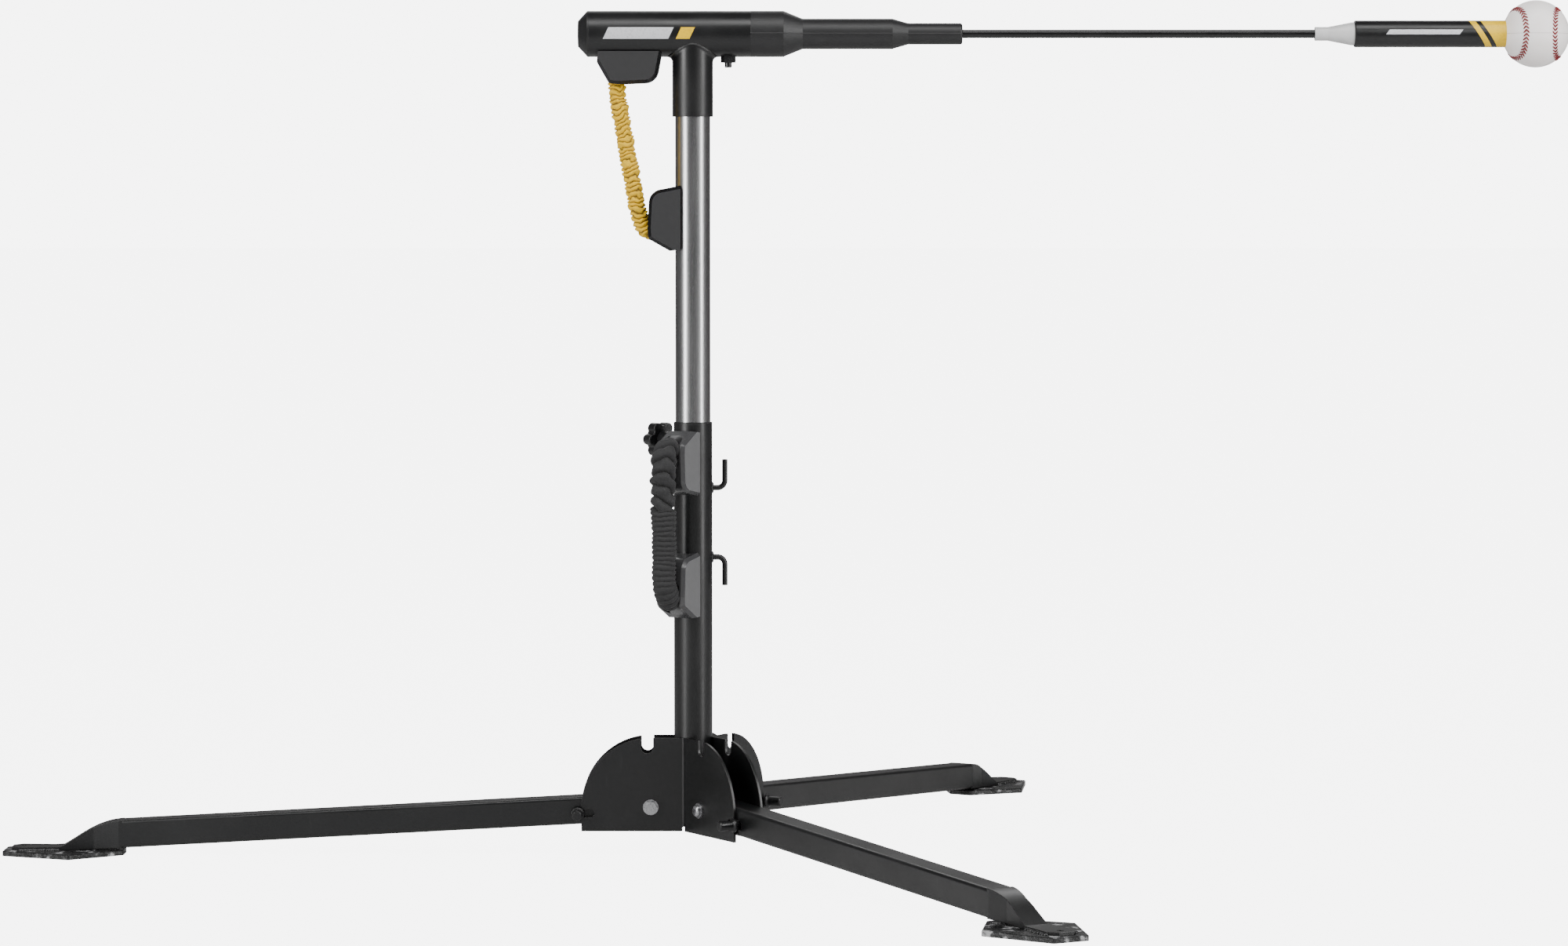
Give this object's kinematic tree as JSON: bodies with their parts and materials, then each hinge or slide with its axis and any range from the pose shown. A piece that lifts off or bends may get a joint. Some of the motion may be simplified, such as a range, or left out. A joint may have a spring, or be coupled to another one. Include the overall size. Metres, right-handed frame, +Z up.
{
  "type": "batting tee",
  "caption": "Spinning-arm batting tee: ball on a flexible arm, rotating head on an adjustable mast, elastic return band, and fold-up tripod legs with floor plates.",
  "frame": {"origin": "floor level, at the middle of the whole tee seen from above; the column axis is 99.1 mm towards -X", "axes": "+Z up along the column, +X along the arm towards the ball, +Y towards the rear leg's side"},
  "size_m": [1.7122, 1.3302, 0.9345],
  "materials": {
    "black_steel": "satin",
    "mast_steel": "brushed",
    "zinc_steel": "satin",
    "black_plastic": "satin",
    "grey_plastic": "matte",
    "pale_plastic": "satin",
    "boot_rubber": "matte",
    "arm_composite": "gloss",
    "yellow_fabric": "matte",
    "black_fabric": "matte",
    "ball_cover": "satin"
  },
  "bodies": {
    "base": {"column_tube": "black_steel", "column_bush": "black_plastic", "clamp_boss": "black_steel", "hooks": "black_steel", "spare_holder_upper": "grey_plastic", "spare_holder_lower": "grey_plastic", "spare_band": "black_fabric", "bracket_sheet_right": "black_steel", "bracket_sheet_rear": "black_steel", "bracket_sheet_front": "black_steel", "pivot_bolts": "zinc_steel", "pivot_washers": "zinc_steel", "pivot_nuts": "zinc_steel"},
    "leg_rear": {"leg_rear": "black_steel", "foot_rear": "black_steel"},
    "pin_rear": {"lock_pin_rear": "black_steel"},
    "leg_left": {"leg_left": "black_steel", "foot_left": "black_steel"},
    "pin_left": {"lock_pin_left": "black_steel"},
    "leg_front": {"leg_front": "black_steel", "foot_front": "black_steel"},
    "pin_front": {"lock_pin_front": "black_steel"},
    "clamp": {"star_knob": "black_plastic", "knob_stud": "zinc_steel"},
    "mast": {"mast_tube": "mast_steel", "mast_cap": "black_plastic", "mast_band_holder": "grey_plastic", "return_band": "yellow_fabric"},
    "head": {"tee_sleeve": "black_steel", "head_tube": "black_steel", "head_bushes": "black_plastic", "head_cap": "black_plastic", "head_band_holder": "grey_plastic", "arm_boot": "boot_rubber", "arm_rod": "arm_composite", "arm_ferrule": "pale_plastic", "ball_sleeve": "boot_rubber", "ball": "ball_cover", "arm_screw": "zinc_steel", "arm_nut": "zinc_steel"}
  },
  "joints": [
    {"name": "leg_rear_fold", "type": "hinge", "parent": "base", "child": "leg_rear", "pos_m": [-0.0759, 0.04018, 0.0535], "axis": [0.866, -0.5, 0], "range_deg": [0, 90]},
    {"name": "pin_rear_slide", "type": "slide", "parent": "leg_rear", "child": "pin_rear", "axis": [0.4993, 0.8648, -0.0523], "range_m": [-0.014, 0.003]},
    {"name": "leg_left_fold", "type": "hinge", "parent": "base", "child": "leg_left", "pos_m": [-0.1455, 0, 0.0535], "axis": [0, 1, 0], "range_deg": [0, 90]},
    {"name": "pin_left_slide", "type": "slide", "parent": "leg_left", "child": "pin_left", "axis": [-0.9986, 0, -0.0523], "range_m": [-0.014, 0.003]},
    {"name": "leg_front_fold", "type": "hinge", "parent": "base", "child": "leg_front", "pos_m": [-0.0759, -0.04018, 0.0535], "axis": [-0.866, -0.5, 0], "range_deg": [0, 90]},
    {"name": "pin_front_slide", "type": "slide", "parent": "leg_front", "child": "pin_front", "axis": [0.4993, -0.8648, -0.0523], "range_m": [-0.014, 0.003]},
    {"name": "clamp_turn", "type": "hinge", "parent": "base", "child": "clamp", "pos_m": [-0.13188, 0.03907, 0.454], "axis": [-0.6428, 0.766, 0], "range_deg": [0, 540]},
    {"name": "mast_slide", "type": "slide", "parent": "base", "child": "mast", "axis": [0, 0, 1], "range_m": [-0.185, 0.085]},
    {"name": "head_spin", "type": "hinge", "parent": "mast", "child": "head", "pos_m": [-0.0991, 0, 0.84], "axis": [0, 0, 1], "range_deg": [-170, 170], "stiffness_Nm_per_rad": 0.8, "deforming": ["return_band"]}
  ]
}
